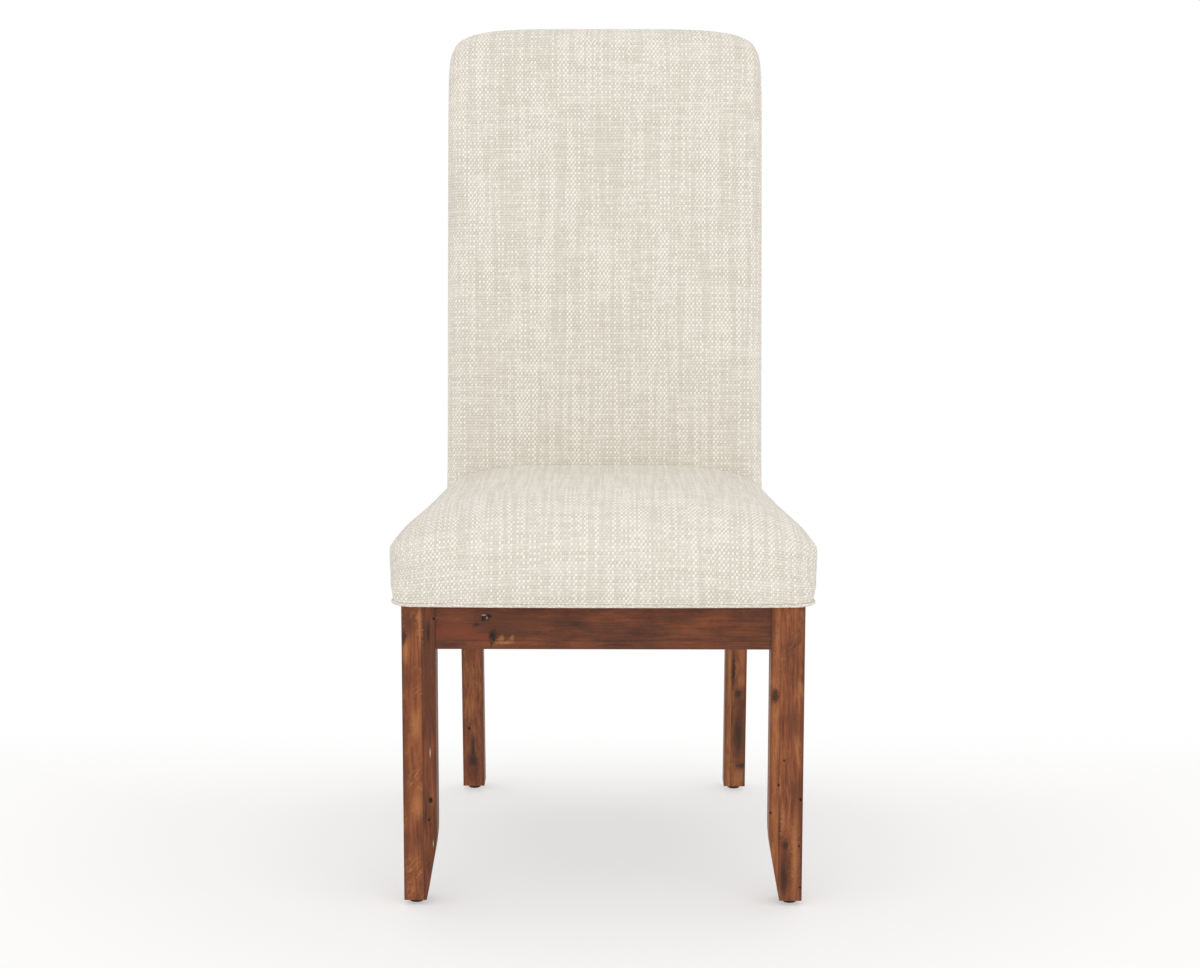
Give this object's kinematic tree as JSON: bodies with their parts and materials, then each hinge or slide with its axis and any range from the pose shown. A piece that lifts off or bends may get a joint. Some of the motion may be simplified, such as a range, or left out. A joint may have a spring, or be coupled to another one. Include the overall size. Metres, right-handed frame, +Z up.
{
  "type": "upholstered dining chair",
  "caption": "Armless dining chair with a padded seat and tall padded back in cream slub fabric, on a stained hardwood frame with tapered front feet.",
  "frame": {"origin": "on the floor, under the middle of the chair's outline", "axes": "+Z up, -Y the way the chair faces, +X the viewer's right when looking at its front"},
  "size_m": [0.518, 0.6355, 1.0689],
  "materials": {
    "stained_hardwood": "reddish-brown stain, satin",
    "frame_hardwood": "raw, planed",
    "dowel_wood": "raw, fluted in life and plain here",
    "plywood": "raw",
    "fibreboard": "raw",
    "cover_fabric": "cream slub weave",
    "foam": "open-cell foam",
    "batting": "polyester wadding",
    "dust_cover": "black nonwoven",
    "webbing": "elastic webbing",
    "steel": "zinc-plated",
    "glide_plastic": "black, matt"
  },
  "bodies": {
    "root": {"back_board": "fibreboard", "back_cover": "cover_fabric", "back_foam": "foam", "back_frame_dowels": "dowel_wood", "back_rear_batting": "batting", "back_webbing": "webbing", "base_dowels": "dowel_wood", "corner_block_front_left": "frame_hardwood", "corner_block_front_right": "frame_hardwood", "corner_block_rear_left": "frame_hardwood", "corner_block_rear_right": "frame_hardwood", "corner_block_screws": "steel", "crest_rail": "frame_hardwood", "front_apron": "stained_hardwood", "front_leg_left": "stained_hardwood", "front_leg_right": "stained_hardwood", "glide_front_left": "glide_plastic", "glide_front_right": "glide_plastic", "glide_nails": "steel", "glide_rear_left": "glide_plastic", "glide_rear_right": "glide_plastic", "lower_back_rail": "frame_hardwood", "outside_back_panel": "cover_fabric", "rear_apron": "stained_hardwood", "rear_leg_left": "stained_hardwood", "rear_leg_right": "stained_hardwood", "seat_batting": "batting", "seat_board": "plywood", "seat_cover": "cover_fabric", "seat_dust_cover": "dust_cover", "seat_foam": "foam", "seat_screws": "steel", "seat_welt": "cover_fabric", "side_apron_left": "stained_hardwood", "side_apron_right": "stained_hardwood"}
  },
  "joints": []
}
